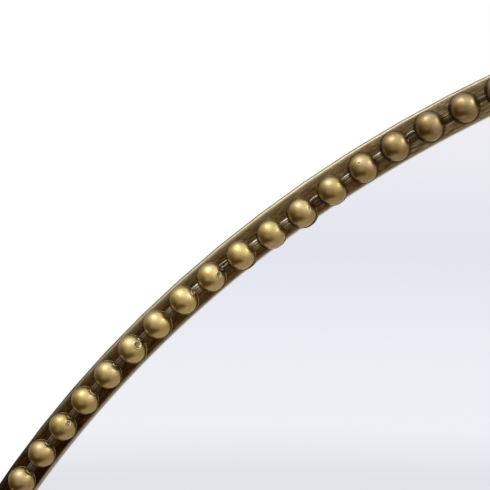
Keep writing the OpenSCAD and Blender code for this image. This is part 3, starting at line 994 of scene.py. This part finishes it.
class MIRROR_OT_frame(bpy.types.Operator):
    """Finish the steel angle frame in its hand-rubbed patina"""

    bl_idname = "mirror.frame"
    bl_label = "Steel frame"

    def execute(self, context):
        settings = context.scene.mirror_frame
        arch = make_patina(settings, "arch")
        dress(["frame_arch"], arch)
        upright = make_patina(settings, "upright")
        dress(["frame_left_stile", "frame_right_stile"], upright)
        dress(["left_splice_plate", "right_splice_plate"], upright)
        dress(["left_corner_angle", "right_corner_angle"], upright)
        dress(["frame_bottom_rail"], make_patina(settings, "level"))
        return {"FINISHED"}


class MIRROR_OT_glass(bpy.types.Operator):
    """Silver the glass"""

    bl_idname = "mirror.glass"
    bl_label = "Mirror glass"

    def execute(self, context):
        dress(["mirror_glass"], make_silver(context.scene.mirror_glass))
        return {"FINISHED"}


class MIRROR_OT_back(bpy.types.Operator):
    """Finish the board, the tape, the rubber and the zinc-plated hardware"""

    bl_idname = "mirror.back"
    bl_label = "Back and hanging parts"

    def execute(self, context):
        settings = context.scene.mirror_back
        # Pressed wood fibres: matt brown with fine flecks and cloudy patches
        dress(["backing_board"], make_plain("fibreboard", settings.board, 1.2, 0.22, 0.8))
        # Foamed tape: soft white and dull, with its pores drawn coarser than they are
        dress(["foam_tape"], make_plain("foam", settings.foam, 0.5, 0.06, 0.9))
        # Moulded rubber: nearly black with a dull, slightly uneven sheen
        rubber = make_plain("moulded_rubber", settings.rubber, 0.8, 0.2, 0.6)
        dress(["setting_blocks", "edge_spacers", "wall_bumpers"], rubber)
        # Zinc plate on steel: bright grey with faint clouds
        zinc = make_plain(
            "zinc_plated_steel", settings.zinc, 3.0, 0.12, 0.32, metallic=1.0, bump_mm=0.005
        )
        dress(
            [
                "board_clips",
                "clip_screws",
                "left_hanger_strap",
                "right_hanger_strap",
                "hanger_screws",
                "left_d_ring",
                "right_d_ring",
                "bumper_screws",
            ],
            zinc,
        )
        return {"FINISHED"}


# The studio


def soft_panel(panel):
    """A soft square lamp that neither the camera nor the glass shows. A tinted one is for the metal alone,
    an untinted one for the rest."""
    lamp = bpy.data.lights.new(panel.name, "AREA")
    lamp.shape = "SQUARE"
    lamp.size = panel.side
    lamp.energy = panel.brightness * math.pi * panel.side * panel.side
    lamp.color = linear(panel.tint or "#ffffff")[:3]
    lamp.use_nodes = True
    tree = lamp.node_tree
    tree.nodes.clear()
    path = add_node(tree, "LightPath")
    shown = add_node(
        tree, "Math", {0: 1.0, 1: path.outputs["Is Singular Ray"]}, operation="SUBTRACT"
    ).outputs[0]
    if panel.tint:
        direct = add_node(
            tree, "Math", {0: path.outputs["Diffuse Depth"], 1: 0.5}, operation="LESS_THAN"
        ).outputs[0]
        shown = add_node(tree, "Math", {0: shown, 1: direct}, operation="MULTIPLY").outputs[0]
    glow = add_node(tree, "Emission", {"Strength": shown})
    add_node(tree, "OutputLight", {"Surface": glow.outputs[0]})
    holder = bpy.data.objects.new(panel.name, lamp)
    holder.location = panel.place
    holder.rotation_mode = "QUATERNION"
    holder.rotation_quaternion = (panel.aim - panel.place).to_track_quat("-Z", "Y")
    holder.visible_camera = False
    holder.visible_glossy = panel.tint is not None
    holder.visible_diffuse = panel.tint is None
    bpy.context.scene.collection.objects.link(holder)


def studio_wall(tree, height, levels):
    """The brightness of one wall of the studio, by the height that a ray looks at."""
    ramp = add_node(tree, "ValToRGB", {"Fac": height})
    set_ramp(ramp, [((z + 1) / 2, tone) for z, tone in levels])
    return ramp.outputs["Color"]


def make_studio():
    """A white background, which glass and metal see as a pale studio: dim on the left, bright above and on
    the right, with soft bands in front of the glass."""
    world = bpy.data.worlds.new("studio")
    bpy.context.scene.world = world
    world.use_nodes = True
    tree = world.node_tree
    tree.nodes.clear()
    coord = add_node(tree, "TexCoord")
    way = add_node(tree, "SeparateXYZ", {"Vector": coord.outputs["Generated"]})
    height = add_node(
        tree, "MapRange", {"Value": way.outputs["Z"], "From Min": -1.0, "From Max": 1.0}
    ).outputs["Result"]
    front, left, right, glass_sees = (
        studio_wall(tree, height, levels) for levels in (FRONT_WALL, LEFT_WALL, RIGHT_WALL, GLASS_WALL)
    )
    to_left = add_node(
        tree,
        "MapRange",
        {"Value": way.outputs["X"], "From Min": -0.4, "From Max": -0.85},
        interpolation_type="SMOOTHSTEP",
    ).outputs["Result"]
    to_right = add_node(
        tree,
        "MapRange",
        {"Value": way.outputs["X"], "From Min": 0.1, "From Max": 0.75},
        interpolation_type="SMOOTHSTEP",
    ).outputs["Result"]
    seen = add_node(tree, "MixRGB", {"Fac": to_left, "Color1": front, "Color2": left}).outputs["Color"]
    seen = add_node(tree, "MixRGB", {"Fac": to_right, "Color1": seen, "Color2": right}).outputs["Color"]
    behind = add_node(
        tree,
        "MapRange",
        {"Value": way.outputs["Y"], "From Min": 0.1, "From Max": 0.5},
        interpolation_type="SMOOTHSTEP",
    ).outputs["Result"]
    back = add_node(
        tree,
        "MapRange",
        {"Value": way.outputs["Y"], "From Min": 0.5, "From Max": 0.9, "To Min": 0.5, "To Max": 1.0},
    ).outputs["Result"]
    seen = add_node(tree, "MixRGB", {"Fac": behind, "Color1": seen, "Color2": back}).outputs["Color"]
    path = add_node(tree, "LightPath")
    seen = add_node(
        tree, "MixRGB", {"Fac": path.outputs["Is Singular Ray"], "Color1": seen, "Color2": glass_sees}
    ).outputs["Color"]
    shiny = add_node(
        tree,
        "Math",
        {0: path.outputs["Is Glossy Ray"], 1: path.outputs["Is Transmission Ray"]},
        operation="MAXIMUM",
    )
    direct = add_node(tree, "Math", {0: path.outputs["Diffuse Depth"], 1: 0.5}, operation="LESS_THAN")
    shiny = add_node(tree, "Math", {0: shiny.outputs[0], 1: direct.outputs[0]}, operation="MULTIPLY")
    diffuse = add_node(tree, "Background", {"Color": (1, 1, 1, 1), "Strength": WORLD_STRENGTH})
    white = add_node(tree, "Background", {"Color": (1, 1, 1, 1), "Strength": 1.0})
    gloss = add_node(tree, "Background", {"Color": seen, "Strength": 1.0})
    first = add_node(
        tree, "MixShader", {0: shiny.outputs[0], 1: diffuse.outputs[0], 2: gloss.outputs[0]}
    )
    second = add_node(
        tree, "MixShader", {0: path.outputs["Is Camera Ray"], 1: first.outputs[0], 2: white.outputs[0]}
    )
    add_node(tree, "OutputWorld", {"Surface": second.outputs[0]})


def make_floor(settings):
    """A pale matt floor that fades out into the white background round the mirror's foot."""
    bm = bmesh.new()
    bmesh.ops.create_circle(bm, cap_ends=True, segments=64, radius=FLOOR_R)
    bmesh.ops.translate(bm, verts=bm.verts, vec=(0, 0, -FLOOR_DROP))
    mesh = mesh_of(bm, "floor")
    material, tree = new_material("pale_floor")
    coord = add_node(tree, "TexCoord")
    reach = add_node(tree, "VectorMath", {0: coord.outputs["Object"]}, operation="LENGTH")
    fade = add_node(
        tree,
        "MapRange",
        {"Value": reach.outputs["Value"], "From Min": FLOOR_FADE[0], "From Max": FLOOR_FADE[1]},
        interpolation_type="SMOOTHSTEP",
    )
    matt = add_node(tree, "BsdfDiffuse", {"Color": (*settings.floor_colour, 1)})
    shown = add_node(tree, "Emission", {"Color": (1, 1, 1, 1), "Strength": 1.0})
    path = add_node(tree, "LightPath")
    solid = add_node(
        tree, "MixShader", {0: path.outputs["Is Glossy Ray"], 1: matt.outputs[0], 2: shown.outputs[0]}
    )
    clear = add_node(tree, "BsdfTransparent")
    mix = add_node(tree, "MixShader", {0: fade.outputs["Result"], 1: solid.outputs[0], 2: clear.outputs[0]})
    add_node(tree, "OutputMaterial", {"Surface": mix.outputs[0]})
    mesh.materials.append(material)
    floor = bpy.data.objects.new("floor", mesh)
    bpy.context.scene.collection.objects.link(floor)


class MIRROR_OT_stage(bpy.types.Operator):
    """Set the camera, the soft lamps, the white background and the floor"""

    bl_idname = "mirror.stage"
    bl_label = "Studio"

    def execute(self, context):
        settings = context.scene.mirror_stage
        camera = bpy.data.cameras.new("camera")
        camera.lens = settings.lens
        camera.sensor_width = 36.0
        camera.clip_start = 0.01
        holder = bpy.data.objects.new("camera", camera)
        holder.location = CAMERA_AT
        holder.rotation_mode = "QUATERNION"
        holder.rotation_quaternion = Vector(CAMERA_WAY).to_track_quat("-Z", "Y")
        context.scene.collection.objects.link(holder)
        context.scene.camera = holder
        make_studio()
        make_floor(settings)
        for panel in PANELS:
            soft_panel(panel)
        context.scene.view_settings.view_transform = "Standard"
        return {"FINISHED"}


# The panel and the classes


class MIRROR_PT_panel(bpy.types.Panel):
    """Lists what builds the mirror's looks"""

    bl_idname = "MIRROR_PT_panel"
    bl_label = "Arched wall mirror"
    bl_space_type = "VIEW_3D"
    bl_region_type = "UI"
    bl_category = "Mirror"

    def draw(self, context):
        for group, operator in (
            ("mirror_trim", "mirror.trim"),
            ("mirror_frame", "mirror.frame"),
            ("mirror_glass", "mirror.glass"),
            ("mirror_back", "mirror.back"),
            ("mirror_stage", "mirror.stage"),
        ):
            box = self.layout.box()
            settings = getattr(context.scene, group)
            for name in settings.__annotations__:
                box.prop(settings, name)
            box.operator(operator)


GROUPS = {
    "mirror_trim": MirrorTrimSettings,
    "mirror_frame": MirrorFrameSettings,
    "mirror_glass": MirrorGlassSettings,
    "mirror_back": MirrorBackSettings,
    "mirror_stage": MirrorStageSettings,
}
OPERATORS = (MIRROR_OT_trim, MIRROR_OT_frame, MIRROR_OT_glass, MIRROR_OT_back, MIRROR_OT_stage)


def register():
    """Adds the classes, and a group of settings for each kind of piece."""
    for name, group in GROUPS.items():
        bpy.utils.register_class(group)
        setattr(bpy.types.Scene, name, bpy.props.PointerProperty(type=group))
    for operator in OPERATORS:
        bpy.utils.register_class(operator)
    bpy.utils.register_class(MIRROR_PT_panel)


def unregister():
    """Takes them away again."""
    bpy.utils.unregister_class(MIRROR_PT_panel)
    for operator in reversed(OPERATORS):
        bpy.utils.unregister_class(operator)
    for name, group in GROUPS.items():
        delattr(bpy.types.Scene, name)
        bpy.utils.unregister_class(group)


def main():
    register()
    bpy.ops.mirror.trim()
    bpy.ops.mirror.frame()
    bpy.ops.mirror.glass()
    bpy.ops.mirror.back()
    bpy.ops.mirror.stage()


if __name__ == "__main__":
    main()
